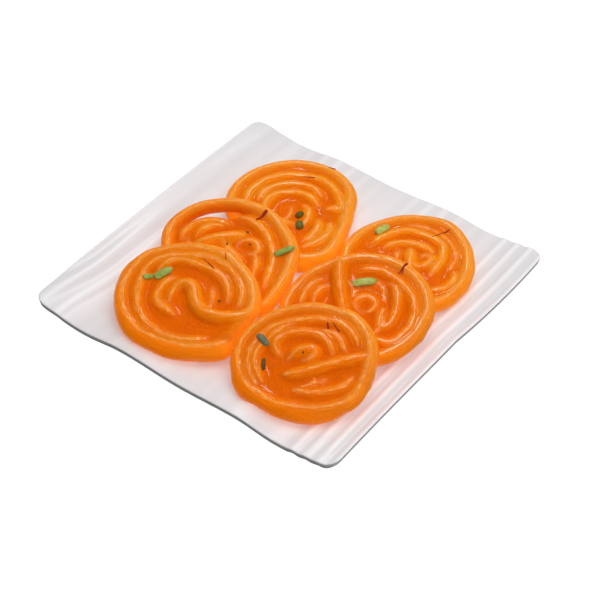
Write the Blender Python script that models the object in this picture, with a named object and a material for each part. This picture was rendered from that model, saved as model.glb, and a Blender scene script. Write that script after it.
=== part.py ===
"""Six jalebis lying on their square wavy plate.

Lengths are metres, +Z is up and the origin is on the table, under the middle of
the plate.  The plate's waves run along Y.  Each jalebi is piped flat, as rings,
arcs and free trails of batter in millimetres about its own middle, fused into
one body, then laid down with its far side up on the jalebi behind it.
"""

import math

import bmesh
import bpy
from mathutils import Euler, Vector

MM = 0.001

# plate
PLATE_SIDE = 240 * MM
PLATE_THICKNESS = 3.7 * MM
PLATE_CORNER = 9 * MM
PLATE_HEIGHT = 8 * MM           # table to the top of the plate at its middle
WAVE_RIDGE_AT = 46 * MM         # from the middle line, either way
WAVE_RIDGE_HEIGHT = 2.1 * MM
WAVE_TROUGH_AT = 77 * MM
WAVE_TROUGH_HEIGHT = -0.6 * MM
RIM_HEIGHT = 5.5 * MM           # at the two ends of each raised rim
RIM_ARCH = 2.0 * MM             # how much higher the rim is half way along
RIB_PITCH = 9.6 * MM
RIB_HEIGHT = 0.5 * MM
RIBS_FROM = 86 * MM
EDGE_SLOPE = 1.3 * MM           # how far the underside stops short of the top
FOOT_SIDE = 150 * MM
FOOT_CORNER = 20 * MM
FOOT_DRAFT = 3 * MM

# batter
STRAND_WIDTH = 9.6 * MM
STRAND_HEIGHT = 9.2 * MM
STRAND_SIDES = 10
STRAND_STEP = 3.5 * MM
STRAND_END = 0.72               # of the strand's size, where it breaks off
WEB_HEIGHT = 4 * MM             # thin batter that ran together between the strands
WEB_SHARE = 0.94                # of the outer strand's middle line
VOXEL = 1.2 * MM
SOFTENING = 0.5
KEPT_FACES = 0.045              # of the fused body's faces

ORANGE = (0.87, 0.19, 0.006, 1.0)
WHITE_GLAZE = (0.83, 0.81, 0.80, 1.0)


def clear_scene():
    for old in list(bpy.data.objects):
        bpy.data.objects.remove(old, do_unlink=True)


def make_material(name, colour, roughness):
    material = bpy.data.materials.new(name)
    material.use_nodes = True
    shader = material.node_tree.nodes["Principled BSDF"]
    shader.inputs["Base Color"].default_value = colour
    shader.inputs["Roughness"].default_value = roughness
    shader.inputs["Metallic"].default_value = 0.0
    return material


def add_object(name, bm, material):
    mesh = bpy.data.meshes.new(name)
    bm.to_mesh(mesh)
    bm.free()
    mesh.materials.append(material)
    mesh.shade_smooth()
    piece = bpy.data.objects.new(name, mesh)
    bpy.context.collection.objects.link(piece)
    return piece


# ---- plate ---------------------------------------------------------------

def ease(t):
    return 0.5 - 0.5 * math.cos(math.pi * min(max(t, 0.0), 1.0))


def wave_height(x, y):
    """Height of the plate's top over its middle."""
    away = abs(x)
    half = PLATE_SIDE / 2
    arch = RIM_ARCH * (1 - (y / half) ** 2)
    stations = (
        (0.0, 0.0),
        (WAVE_RIDGE_AT, WAVE_RIDGE_HEIGHT),
        (WAVE_TROUGH_AT, WAVE_TROUGH_HEIGHT),
        (half + PLATE_CORNER, RIM_HEIGHT + arch),
    )
    height = stations[-1][1]
    for (x0, z0), (x1, z1) in zip(stations, stations[1:]):
        if x0 <= away <= x1:
            height = z0 + (z1 - z0) * ease((away - x0) / (x1 - x0))
    if away > RIBS_FROM:
        phase = 2 * math.pi * (away - RIBS_FROM) / RIB_PITCH
        height += RIB_HEIGHT * 0.5 * (1 - math.cos(phase))
    return height


def plate_stations():
    """X of each line of faces: close together on the ribs and corners."""
    half = PLATE_SIDE / 2
    flat = [RIBS_FROM * i / 9 for i in range(10)]
    count = round((half - PLATE_CORNER - RIBS_FROM) / (RIB_PITCH / 4))
    ribs = [RIBS_FROM + (half - PLATE_CORNER - RIBS_FROM) * i / count for i in range(1, count + 1)]
    corner = [half - PLATE_CORNER + PLATE_CORNER * math.sin(math.radians(a)) for a in (22, 45, 66, 90)]
    right = flat[1:] + ribs + corner
    return [-x for x in reversed(right)] + [0.0] + right


def half_length(x, inset):
    """Half of the plate's length along Y at this x, round the corners."""
    half = PLATE_SIDE / 2 - inset
    over = abs(x) - (half - PLATE_CORNER)
    if over <= 0:
        return half
    return half - PLATE_CORNER + math.sqrt(max(PLATE_CORNER ** 2 - over ** 2, 0.0))


def plate_rows():
    return [-1.0, -0.75, -0.3, 0.3, 0.75, 1.0]


def make_plate(material):
    bm = bmesh.new()
    half = PLATE_SIDE / 2
    top, under = [], []
    for x in plate_stations():
        top_row, under_row = [], []
        x_under = x * (half - EDGE_SLOPE) / half
        for row in plate_rows():
            y = row * half_length(x, 0.0)
            y_under = row * half_length(x_under, EDGE_SLOPE)
            z = PLATE_HEIGHT + wave_height(x, y)
            z_under = PLATE_HEIGHT + wave_height(x_under, y_under) - PLATE_THICKNESS
            top_row.append(bm.verts.new((x, y, z)))
            under_row.append(bm.verts.new((x_under, y_under, z_under)))
        top.append(top_row)
        under.append(under_row)
    last = len(plate_rows()) - 1
    for i in range(len(top) - 1):
        for j in range(last):
            bm.faces.new((top[i][j], top[i + 1][j], top[i + 1][j + 1], top[i][j + 1]))
            bm.faces.new((under[i][j], under[i][j + 1], under[i + 1][j + 1], under[i + 1][j]))
        bm.faces.new((under[i][0], under[i + 1][0], top[i + 1][0], top[i][0]))
        bm.faces.new((top[i][last], top[i + 1][last], under[i + 1][last], under[i][last]))
    for j in range(last):
        bm.faces.new((under[0][j], top[0][j], top[0][j + 1], under[0][j + 1]))
        bm.faces.new((top[-1][j], under[-1][j], under[-1][j + 1], top[-1][j + 1]))
    plate = add_object("plate", bm, material)
    foot = make_foot(material)
    union = plate.modifiers.new("foot", "BOOLEAN")
    union.operation = "UNION"
    union.solver = "EXACT"
    union.object = foot
    return plate


def rounded_square(side, corner, z):
    points = []
    for quarter in range(4):
        for step in range(4):
            angle = math.radians(90 * quarter + 30 * step)
            turn = math.radians(90 * quarter + 45)
            cx = (side / 2 - corner) * math.copysign(1, math.cos(turn))
            cy = (side / 2 - corner) * math.copysign(1, math.sin(turn))
            points.append(Vector((cx + corner * math.cos(angle), cy + corner * math.sin(angle), z)))
    return points


def make_foot(material):
    """The low square foot, wider where it joins the plate."""
    bm = bmesh.new()
    joined = PLATE_HEIGHT - PLATE_THICKNESS * 0.5
    low = [bm.verts.new(p) for p in rounded_square(FOOT_SIDE, FOOT_CORNER, 0.0)]
    high = [bm.verts.new(p) for p in rounded_square(FOOT_SIDE + 2 * FOOT_DRAFT, FOOT_CORNER, joined)]
    bm.faces.new(list(reversed(low)))
    bm.faces.new(high)
    for i in range(len(low)):
        k = (i + 1) % len(low)
        bm.faces.new((low[i], low[k], high[k], high[i]))
    foot = add_object("foot_cutter", bm, material)
    foot.hide_render = True
    foot.display_type = "WIRE"
    return foot


# ---- piping --------------------------------------------------------------

def turn(start, step, radii):
    """Points round the jalebi's middle: a radius in mm every step degrees."""
    points = []
    for i, radius in enumerate(radii):
        angle = math.radians(start + step * i)
        points.append((radius * math.cos(angle), radius * math.sin(angle)))
    return points


def ring(radii):
    """A closed ring: radii at equal turns, from +X anticlockwise."""
    closed = turn(0, 360 / len(radii), radii)
    return closed + closed[:2]


def arc(cx, cy, first_radius, last_radius, first_angle, last_angle):
    """An arc round (cx, cy) whose radius grows or shrinks evenly."""
    count = max(3, round(abs(last_angle - first_angle) / 25))
    points = []
    for i in range(count + 1):
        t = i / count
        radius = first_radius + (last_radius - first_radius) * t
        angle = math.radians(first_angle + (last_angle - first_angle) * t)
        points.append((cx + radius * math.cos(angle), cy + radius * math.sin(angle)))
    return points


def over(height, points):
    """Lift a trail over the strands it crosses: highest half way along."""
    last = len(points) - 1
    return [(x, y, height * math.sin(math.pi * (0.12 + 0.76 * i / last))) for i, (x, y) in enumerate(points)]


JALEBIS = {
    "jalebi_back_left": dict(
        middle=(-37, 49), lift=2.5, tilt=0,
        trails=[
            ring((41, 37, 43, 48, 48.5, 47.5, 45, 41.5, 38, 38, 45.5, 51.5)),
            turn(-150, -30, (38, 41, 42, 43, 42, 41, 36)),
            turn(-145, -30, (32.5, 33, 34, 35, 36, 35, 33.5)) + [(24, 16), (18, 11)],
            arc(1, 3.5, 27, 20.5, -148, -300),
            arc(-0.5, -3.5, 15.5, 21.5, -134, -318),
            arc(-4, -9.5, 19, 22, 67, -11),
            arc(-13.5, -17.5, 23.5, 16, 61, 3),
            arc(6, -25.5, 32, 19.5, 61, -3),
            arc(10.5, -14, 27, 24.5, 44, -41),
            turn(215, 30, (30, 28, 27, 30)),
            turn(240, 40, (18, 17, 18)),
        ]),
    "jalebi_back_right": dict(
        middle=(57, 53), lift=3.1, tilt=0,
        trails=[
            ring((42, 39.5, 41.5, 45, 40, 38.5, 40, 42.5, 44, 43.5, 45.5, 45)),
            turn(175, -30, (36.5, 35, 34.5, 36, 35, 34, 36)),
            turn(-170, -30, (30, 27.5, 28, 26.5, 26.5, 22, 19, 21)),
            arc(11, -2, 44.5, 15, 138, 20),
            arc(-4.5, -11.5, 17.5, 30.5, 153, 59),
            over(1.5, [(-6, 10), (1, -1), (8, -13)]),
            arc(5.5, 7, 11.5, 1, -92, 114),
            arc(20.5, 1.5, 9.5, 21.5, 43, -79),
            arc(-34.5, -12, 27.5, 28, 34, 9),
            turn(200, 30, (31, 32, 33, 33, 32)),
            turn(230, 40, (18, 18, 20)),
        ]),
    "jalebi_middle_left": dict(
        middle=(-40, -16), lift=7.8, tilt=9.1,
        web=(41, 40, 37, 37, 33, 27, 36, 34, 29, 28, 33, 45),
        trails=[
            ring((45, 43.5, 40, 41, 44, 47, 47, 40, 33.5, 32, 37, 50)),
            arc(-21.5, -9, 30.5, 9.5, 70, 182),
            arc(-14, -4, 21, 11, 89, 179),
            over(4, [(2, 18), (-13, 1), (-22, -10)]),
            [(-33, 29)] + arc(-23.5, -7, 34, 64, 86, -7),
            turn(60, -30, (34, 36.5, 38, 40, 36)),
            arc(12, 7.5, 10.5, 1, 175, -99),
            arc(-1, -18.5, 31.5, 29.5, 61, 15),
            [(-11, 7), (2, 0), (16, -3)],
            turn(190, 30, (30, 26, 23, 22, 26, 36)),
            turn(200, 40, (18, 14, 13, 20)),
        ]),
    "jalebi_middle_right": dict(
        middle=(60.4, -9.5), lift=9.9, tilt=8,
        trails=[
            ring((43.5, 43.5, 44, 45, 44, 42.5, 43, 43.5, 45.5, 46.5, 49, 46)),
            turn(130, -30, (33, 34.5, 33.5, 33.5, 36.5, 37)) + [(27, -17), (18, -18)],
            arc(-36, -10, 57, 58, 40, 16) + [(22, -3), (17, 1), (12, 14)],
            arc(10, -14.5, 16.5, 8.5, 60, -14),
            arc(3, 3.5, 6.5, 6, -95, -438),
            [(-33, 26, 2), (-23, 11, 3.5), (-11, -3, 2.5), (0, -13)],
            arc(-9.5, 9, 22.5, 37, -179, -128),
            arc(-4.5, 1.5, 23, 27.5, 173, 218),
            arc(-3, 11.5, 10.5, 12.5, 121, 7),
            arc(-22.5, -5.5, 20, 18.5, 75, 38),
            turn(215, 30, (34, 35, 36, 37)),
            turn(220, 35, (20, 18, 18, 20)),
        ]),
    "jalebi_front_left": dict(
        middle=(-36.8, -65.2), lift=9.6, tilt=9.3,
        web=(41, 41, 38, 36.5, 35.5, 37.5, 39, 38.5, 38.5, 40, 43, 45),
        trails=[
            [(44, 7), (45.5, 2)]
            + turn(-5, -30, (45, 50.5, 45, 42.5, 41.5, 41, 42.5, 40.5, 38, 39.5, 41, 45))
            + [(45, 8), (40, 1), (33, -4, 2), (24, -8, 3), (17, -8, 3), (11, -4, 3), (4, 5, 2)]
            + [(-2, 9), (-6, 5), (-5, -4), (-1, -15)],
            turn(-30, -30, (42.5, 37.5, 34, 32, 33, 34, 32, 30, 30.5, 32, 35.5, 39.5)),
            arc(-8, -8, 14.5, 40.5, -162, -349),
            arc(5, -5, 24.5, 10, 143, 304),
            [(13, 12), (18, 6), (23, -2)],
            arc(-18, 1.5, 17, 57.5, -95, -10),
        ]),
    "jalebi_front_right": dict(
        middle=(60.6, -66.9), lift=11.1, tilt=12,
        trails=[
            ring((43, 41, 41.5, 39.5, 38, 38.5, 40, 42.5, 41, 39.5, 38.5, 41)),
            turn(35, 30, (33, 31.5, 30, 28, 27, 30, 35, 35, 31.5, 31, 33.5, 33)),
            arc(2.5, -0.5, 24, 24.5, 37, 136),
            arc(-9.5, -4.5, 28, 4, 20, 238),
            arc(-3.5, 0.5, 7, 3.5, -124, -466),
            over(4.5, [(31, 14), (15, -4), (-1, -21)]),
            arc(5, 8, 24, 32, -42, -88),
            arc(-0.5, -17.5, 27.5, 15, 163, 227),
            arc(-9, -5, 10.5, 33, -123, -21),
        ]),
}


def smooth_trail(points):
    """A smooth path through the points, with a station every STRAND_STEP."""
    knots = [Vector((p[0], p[1], p[2] if len(p) > 2 else 0.0)) * MM for p in points]
    knots = [2 * knots[0] - knots[1]] + knots + [2 * knots[-1] - knots[-2]]
    path = []
    for a, b, c, d in zip(knots, knots[1:], knots[2:], knots[3:]):
        count = max(1, round((c - b).length / STRAND_STEP))
        for i in range(count):
            t = i / count
            path.append(0.5 * (2 * b + (c - a) * t + (2 * a - 5 * b + 4 * c - d) * t * t
                               + (3 * b - a - 3 * c + d) * t ** 3))
    path.append(knots[-2])
    return path


def add_strand(bm, path):
    """A tube of batter along the path, flat underneath and round at its ends."""
    rings = []
    last = len(path) - 1
    for i, centre in enumerate(path):
        along = path[min(i + 1, last)] - path[max(i - 1, 0)]
        along.z = 0
        across = Vector((-along.y, along.x, 0)).normalized()
        size = STRAND_END if i in (0, last) else 1.0
        section = []
        for side in range(STRAND_SIDES):
            angle = 2 * math.pi * (side + 0.5) / STRAND_SIDES
            point = centre + across * (math.cos(angle) * STRAND_WIDTH / 2 * size)
            point.z += STRAND_HEIGHT / 2 + math.sin(angle) * STRAND_HEIGHT / 2 * size
            section.append(bm.verts.new(point))
        rings.append(section)
    for low, high in zip(rings, rings[1:]):
        for side in range(STRAND_SIDES):
            k = (side + 1) % STRAND_SIDES
            bm.faces.new((low[side], low[k], high[k], high[side]))
    bm.faces.new(list(reversed(rings[0])))
    bm.faces.new(rings[-1])


def add_web(bm, edge):
    """The thin sheet of batter that ran together between the strands."""
    low = [bm.verts.new((p.x, p.y, 0.0)) for p in edge]
    high = [bm.verts.new((p.x, p.y, WEB_HEIGHT)) for p in edge]
    bm.faces.new(low)
    bm.faces.new(high)
    for i in range(len(low)):
        k = (i + 1) % len(low)
        bm.faces.new((low[i], low[k], high[k], high[i]))


def make_jalebi(name, design, material):
    bm = bmesh.new()
    if "web" in design:
        edge = smooth_trail(ring(design["web"]))
    else:
        edge = [p * WEB_SHARE for p in smooth_trail(design["trails"][0])]
    add_web(bm, edge)
    for trail in design["trails"]:
        add_strand(bm, smooth_trail(trail))
    bmesh.ops.recalc_face_normals(bm, faces=bm.faces[:])
    jalebi = add_object(name, bm, material)
    x, y = design["middle"]
    jalebi.location = (x * MM, y * MM, PLATE_HEIGHT + design["lift"] * MM)
    jalebi.rotation_euler = Euler((math.radians(design["tilt"]), 0, 0))
    fuse = jalebi.modifiers.new("fuse", "REMESH")
    fuse.mode = "VOXEL"
    fuse.voxel_size = VOXEL
    fuse.use_smooth_shade = True
    soften = jalebi.modifiers.new("soften", "SMOOTH")
    soften.factor = SOFTENING
    soften.iterations = 1
    thin = jalebi.modifiers.new("thin", "DECIMATE")
    thin.ratio = KEPT_FACES
    return jalebi


def main():
    clear_scene()
    make_plate(make_material("white glaze", WHITE_GLAZE, 0.18))
    for name, design in JALEBIS.items():
        make_jalebi(name, design, make_material(name + " batter", ORANGE, 0.25))


main()
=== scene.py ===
import math

import bmesh
import bpy
import numpy as np
from mathutils import Euler, Matrix, Vector
from mathutils.kdtree import KDTree


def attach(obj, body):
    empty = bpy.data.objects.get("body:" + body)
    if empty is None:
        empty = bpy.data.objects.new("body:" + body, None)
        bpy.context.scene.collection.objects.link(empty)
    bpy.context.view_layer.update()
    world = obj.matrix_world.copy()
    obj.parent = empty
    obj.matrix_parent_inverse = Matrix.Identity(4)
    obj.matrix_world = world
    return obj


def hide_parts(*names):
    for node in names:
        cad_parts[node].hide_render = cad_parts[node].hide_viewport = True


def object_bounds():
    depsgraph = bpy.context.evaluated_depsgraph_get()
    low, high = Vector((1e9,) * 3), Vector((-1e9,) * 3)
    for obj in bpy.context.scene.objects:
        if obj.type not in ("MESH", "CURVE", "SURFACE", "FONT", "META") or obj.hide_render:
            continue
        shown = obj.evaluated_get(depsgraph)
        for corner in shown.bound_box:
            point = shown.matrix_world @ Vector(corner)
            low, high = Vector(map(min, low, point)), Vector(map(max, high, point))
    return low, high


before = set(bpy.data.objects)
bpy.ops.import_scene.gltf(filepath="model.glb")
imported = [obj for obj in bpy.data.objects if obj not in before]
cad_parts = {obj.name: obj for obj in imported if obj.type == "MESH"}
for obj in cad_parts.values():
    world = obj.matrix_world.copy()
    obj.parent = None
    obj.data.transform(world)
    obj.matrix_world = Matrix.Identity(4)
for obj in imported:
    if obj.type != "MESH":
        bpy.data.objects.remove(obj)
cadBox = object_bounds()
mm = 0.001


def hexColor(text):
    # sRGB hex to the linear numbers Blender wants
    parts = [int(text[i:i + 2], 16) / 255 for i in (1, 3, 5)]
    return (*(c / 12.92 if c <= 0.04045 else ((c + 0.055) / 1.055) ** 2.4 for c in parts), 1.0)


def setInputs(tree, node, **links):
    # each input, by its name or number, gets a value, a socket or the first output of another node
    for key, value in links.items():
        name = key.strip("_")
        socket = node.inputs[int(name) if name.isdigit() else name.replace("_", " ")]
        if isinstance(value, bpy.types.Node):
            value = value.outputs[0]
        if isinstance(value, bpy.types.NodeSocket):
            tree.links.new(value, socket)
        else:
            socket.default_value = value


def addNode(tree, kind, settings=None, **links):
    # one node: settings are its properties, or the stops of a colour ramp, and links go to its inputs
    node = tree.nodes.new(kind)
    for key, value in (settings or {}).items():
        if key != "stops":
            setattr(node, key, value)
            continue
        while len(node.color_ramp.elements) < len(value):
            node.color_ramp.elements.new(0.5)
        for element, (place, color) in zip(node.color_ramp.elements, value):
            element.position = place
            element.color = hexColor(color)
    setInputs(tree, node, **links)
    return node


def newMaterial(name):
    material = bpy.data.materials.new(name)
    material.use_nodes = True
    return material, material.node_tree, material.node_tree.nodes["Principled BSDF"]


def addObject(name, data):
    thing = bpy.data.objects.new(name, data)
    bpy.context.collection.objects.link(thing)
    return thing


def writeMark(mesh, label, values):
    # one number on every point, for a material to read
    mesh.attributes.new(label, "FLOAT", "POINT").data.foreach_set("value", np.asarray(values, np.float32))


def loftLoops(name, loops):
    # a closed skin over loops of equally many points, capped at both ends
    shape = bmesh.new()
    rings = [[shape.verts.new(point) for point in loop] for loop in loops]
    shape.faces.new(rings[0])
    shape.faces.new(rings[-1])
    for low, high in zip(rings, rings[1:]):
        for i in range(len(low)):
            k = (i + 1) % len(low)
            shape.faces.new((low[i], low[k], high[k], high[i]))
    bmesh.ops.recalc_face_normals(shape, faces=shape.faces[:])
    mesh = bpy.data.meshes.new(name)
    shape.to_mesh(mesh)
    shape.free()
    return mesh


def startTree(name, inputs):
    # a Geometry Nodes tree: its named inputs are name: (kind, value)
    tree = bpy.data.node_groups.new(name, "GeometryNodeTree")
    tree.interface.new_socket(name="Geometry", in_out="OUTPUT", socket_type="NodeSocketGeometry")
    sockets = {}
    for label, (kind, value) in {"Geometry": ("Geometry", None), **inputs}.items():
        item = tree.interface.new_socket(name=label, in_out="INPUT", socket_type="NodeSocket" + kind)
        if value is not None:
            item.default_value = value
        sockets[label] = item.identifier
    return tree, addNode(tree, "NodeGroupInput").outputs, sockets


def endTree(tree, geometry, material):
    real = addNode(tree, "GeometryNodeRealizeInstances", Geometry=geometry)
    painted = addNode(tree, "GeometryNodeSetMaterial", Geometry=real, Material=material)
    addNode(tree, "NodeGroupOutput", Geometry=painted)


def addShake(tree, seed, reach, spacing):
    # an offset that wanders from point to point, by up to half of reach each way
    here = addNode(tree, "GeometryNodeInputPosition")
    noise = addNode(tree, "ShaderNodeTexNoise", {"noise_dimensions": "4D"}, Vector=here, W=seed,
                    Scale=1 / spacing, Detail=1.0).outputs["Color"]
    centred = addNode(tree, "ShaderNodeVectorMath", {"operation": "SUBTRACT"}, _0=noise, _1=(0.5, 0.5, 0.5))
    return addNode(tree, "ShaderNodeVectorMath", {"operation": "SCALE"}, _0=centred, Scale=reach)


def runTree(tree, source, values):
    # what the tree makes of an object, as a plain mesh; the object is used up
    build = source.modifiers.new("build", "NODES")
    build.node_group = tree
    for identifier, value in values.items():
        build[identifier] = value
    graph = bpy.context.evaluated_depsgraph_get()
    evaluated = source.evaluated_get(graph)
    mesh = bpy.data.meshes.new_from_object(evaluated, preserve_all_data_layers=True, depsgraph=graph)
    bpy.data.objects.remove(source)
    return mesh


def finishPiece(mesh, name, material, nodes=()):
    mesh.name = name
    mesh.materials.clear()
    mesh.materials.append(material)
    mesh.shade_smooth()
    piece = addObject(name, mesh)
    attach(piece, "root")
    if nodes:
        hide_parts(*nodes)
    return piece


view = {
    "azimuth": -54.42,      # degrees from +X, where the camera stands
    "elevation": 42.75,
    "roll": 1.13,
    "distance": 1.2017,
    "lens": 110.65,         # for a sensor 36 mm wide
    "aim": (0.0159, -0.0130, 0.008),
}


def makeCamera():
    azimuth, elevation, roll = (math.radians(view[key]) for key in ("azimuth", "elevation", "roll"))
    level = math.cos(elevation)
    back = Vector((math.cos(azimuth) * level, math.sin(azimuth) * level, math.sin(elevation)))
    right = Vector((0, 0, 1)).cross(back).normalized()
    up = back.cross(right)
    rolledRight = right * math.cos(roll) + up * math.sin(roll)
    rolledUp = up * math.cos(roll) - right * math.sin(roll)
    place = Matrix((rolledRight, rolledUp, back)).transposed().to_4x4()
    place.translation = Vector(view["aim"]) + back * view["distance"]
    data = bpy.data.cameras.new("camera")
    data.lens = view["lens"]
    data.sensor_width = 36
    data.clip_end = 20
    camera = addObject("camera", data)
    camera.matrix_world = place
    bpy.context.scene.camera = camera


light = {
    "sky": ("#ffffff", 0.26),
    "mirroredSky": 0.04,        # what gloss sees of the sky: a darker studio
    "boxes": {
        "softbox": {"place": (-0.60, 0.83, 0.72), "size": (1.15, 0.6), "power": 0.9, "glossy": False},
        "haze": {"place": (-0.60, 0.83, 0.72), "size": (1.15, 0.6), "power": 4.8, "glossy": False,
                 "shadow": False},
        "lamp": {"place": (-0.43, 0.59, 1.08), "size": (0.12, 0.42), "power": 1.2, "shadow": False},
        "window": {"place": (-0.52, 0.80, 0.86), "size": (0.12, 0.08), "power": 0.35},
        "fill": {"place": (0.75, -0.1, 1.2), "size": (1.4, 1.4), "power": 10.5, "glossy": False,
                 "shadow": False},
        "above": {"place": (0.1, 0.0, 1.5), "size": (1.6, 1.6), "power": 5.6, "glossy": False,
                  "shadow": False},
    },
    "floorColor": "#505050",
    "floorGlow": 1.0,           # only the camera sees it, so it throws no light on the plate
    "floorReach": 6.0,
    "floorSink": 0.2 * mm,      # below the plate's foot
}


def addSoftbox(name, place, size, power, glossy=True, shadow=True):
    data = bpy.data.lights.new(name, "AREA")
    data.shape = "RECTANGLE"
    data.size, data.size_y = size
    data.energy = power
    data.use_shadow = shadow
    box = addObject(name, data)
    box.location = place
    box.visible_glossy = glossy
    box.rotation_euler = (-Vector(place)).to_track_quat("-Z", "Y").to_euler()


def makeLight():
    world = bpy.data.worlds.new("white studio")
    world.use_nodes = True
    tree, (color, strength) = world.node_tree, light["sky"]
    ray = addNode(tree, "ShaderNodeLightPath").outputs["Is Glossy Ray"]
    shown = addNode(tree, "ShaderNodeMapRange", Value=ray, To_Min=strength, To_Max=light["mirroredSky"])
    setInputs(tree, tree.nodes["Background"], Color=hexColor(color), Strength=shown)
    bpy.context.scene.world = world
    for name, settings in light["boxes"].items():
        addSoftbox(name, **settings)
    bpy.context.scene.view_settings.view_transform = "Standard"


def makeFloor():
    # a sheet of white paper, matt and lit evenly; its far edge shows in views from below about 11 degrees
    material, tree, shader = newMaterial("white paper sweep")
    ray = addNode(tree, "ShaderNodeLightPath").outputs["Is Camera Ray"]
    shown = addNode(tree, "ShaderNodeMath", {"operation": "MULTIPLY"}, _0=ray, _1=light["floorGlow"])
    setInputs(tree, shader, Base_Color=hexColor(light["floorColor"]), Roughness=0.9,
              Emission_Color=hexColor("#ffffff"), Emission_Strength=shown)
    mesh, reach = bpy.data.meshes.new("floor"), light["floorReach"]
    corners = [(-reach, -reach, 0), (reach, -reach, 0), (reach, reach, 0), (-reach, reach, 0)]
    mesh.from_pydata(corners, [], [(0, 1, 2, 3)])
    mesh.materials.append(material)
    floor = addObject("floor", mesh)
    floor.location.z = -light["floorSink"]


plate = {
    "side": round(cadBox[1][0] - cadBox[0][0], 4),      # as wide as the CAD plate
    "thickness": 4.2 * mm,
    "corner": 9 * mm,
    "height": 8 * mm,           # table to the top of the middle
    "ridge": (46 * mm, 2.1 * mm),       # of the long waves: place from the middle, height
    "trough": (77 * mm, -0.6 * mm),
    "rim": {"left": (5.5 * mm, 2.0 * mm), "right": (3.6 * mm, 0.8 * mm)},       # height at the corners, arch
    "ribs": {       # height, pitch, where they start, how strongly their painted light and shade shows
        "left": (0.55 * mm, 14 * mm, 87 * mm, 0.4),
        "right": (0.9 * mm, 9.6 * mm, 86 * mm, 1.0),
        "ends": (0.25 * mm, 12 * mm, 60 * mm, 0.6),
    },
    "ribLead": (6 * mm, 10 * mm),       # their painted light and shade begins this far before them, over this length
    "ribSwell": (0.35, 23 * mm, 11 * mm),       # share of the height, waves along and across the ribs
    "leftFan": (7 * mm, 60 * mm, 60 * mm),      # swing out towards the front by, from, over
    "leftFade": (0.65, -70 * mm, 100 * mm),     # weaker towards the back by, from, over
    "endFade": 55 * mm,
    "endPatches": (0.4, 14 * mm, 40 * mm),      # share that comes and goes, waves in x and y
    "frontEnd": 0.3,            # strength of the ribs across the front, beside those across the back
    "bulge": (3.0 * mm, 76 * mm, 62 * mm),      # of the right edge: by, round this y, half its length
    "drawn": (3.2 * mm, -70 * mm, 190 * mm),    # front edge further out at the right: by, from this x, over
    "edgeSlope": 0.6 * mm,
    "edgeRound": 0.6 * mm,
    "footSide": 150 * mm,
    "footCorner": 20 * mm,
    "footDraft": 3 * mm,
    "footEdge": ((0.5 * mm, 0.8 * mm), (0.15 * mm, 0.2 * mm), (-0.6 * mm, 0.0)),        # out, height
    "around": 480,              # points
    "grid": (1.25 * mm, 2 * mm),        # between the loops of the top and of the underside
    "mottle": 55.6 * mm,
    "orangePeel": 6.25 * mm,    # the dimples of a glaze
    "glaze": ((0.3, "#e4e1e3"), (0.7, "#e9e6e7")),
    "ribCrestHighlight": "#fffdfe",
    "ribGrooveShade": "#cbc7c9",
}


def ease(value, start, length):
    # 0 up to start, 1 from length beyond it, smooth between them
    return 0.5 - 0.5 * math.cos(math.pi * min(max((value - start) / length, 0.0), 1.0))


def ribs(x, y):
    # the ribs pressed along the sides and faintly across the ends: their height at a place,
    # and the painted light and shade there, from 0 in a groove to 1 on a crest
    side, away = "right" if x > 0 else "left", abs(x)
    height, pitch, start, tone = plate["ribs"][side]
    endHeight, endPitch, endStart, endTone = plate["ribs"]["ends"]
    if side == "left":
        fan, fanFrom, fanOver = plate["leftFan"]
        fade, fadeFrom, fadeOver = plate["leftFade"]
        start += fan * ease(-y, fanFrom, fanOver)
        kept = 1 - fade * ease(y, fadeFrom, fadeOver)
        height, tone = height * kept, tone * kept
    patch, patchX, patchY = plate["endPatches"]
    uneven = 1 - patch + patch * math.sin(x / patchX + 2 + y / patchY)
    end = ease(abs(y), endStart, plate["endFade"]) * uneven * (1.0 if y > 0 else plate["frontEnd"])
    wave = 0.5 - 0.5 * math.cos(2 * math.pi * (away - start) / (pitch if away > start else endPitch))
    lead, leadOver = plate["ribLead"]
    strength = max(tone * ease(away, start - lead, leadOver), endTone * end)
    swell, swellAlong, swellAcross = plate["ribSwell"]
    swollen = height * (1 + swell * math.sin(y / swellAlong + away / swellAcross))
    return (swollen if away > start else endHeight * end) * wave, 0.5 + (wave - 0.5) * strength


def waveHeight(x, y):
    # the long waves across the plate, which rise to its raised sides
    away, half = abs(x), plate["side"] / 2
    rim, arch = plate["rim"]["right" if x > 0 else "left"]
    edge = (half + plate["corner"], rim + arch * (1 - (y / half) ** 2))
    stations = ((0.0, 0.0), plate["ridge"], plate["trough"], edge)
    height = edge[1]
    for (x0, z0), (x1, z1) in zip(stations, stations[1:]):
        if x0 <= away <= x1:
            height = z0 + (z1 - z0) * ease(away, x0, x1 - x0)
    return height + ribs(x, y)[0]


def roundedSquare(half, corner, count):
    # evenly spaced points round a square with rounded corners
    corner = max(corner, 0.01 * mm)
    straight = 2 * (half - corner)
    bend = math.pi / 2 * corner
    points = []
    for i in range(count):
        along = (i / count) * 4 * (straight + bend)
        quarter, rest = divmod(along, straight + bend)
        if rest < straight:
            x, y = half, -half + corner + rest
        else:
            angle = (rest - straight) / corner
            x, y = half - corner + corner * math.cos(angle), half - corner + corner * math.sin(angle)
        turn = quarter * math.pi / 2
        points.append((x * math.cos(turn) - y * math.sin(turn), x * math.sin(turn) + y * math.cos(turn)))
    return points


def handMade(x, y):
    # the outline of this plate is not quite square
    half = plate["side"] / 2
    bulge, middle, reach = plate["bulge"]
    drawn, drawnFrom, drawnOver = plate["drawn"]
    out = bulge * max(x / half, 0) ** 4 * max(1 - ((y - middle) / reach) ** 2, 0)
    down = drawn * max(-y / half, 0) ** 4 * ease(x, drawnFrom, drawnOver)
    return x + out, y - down


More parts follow.
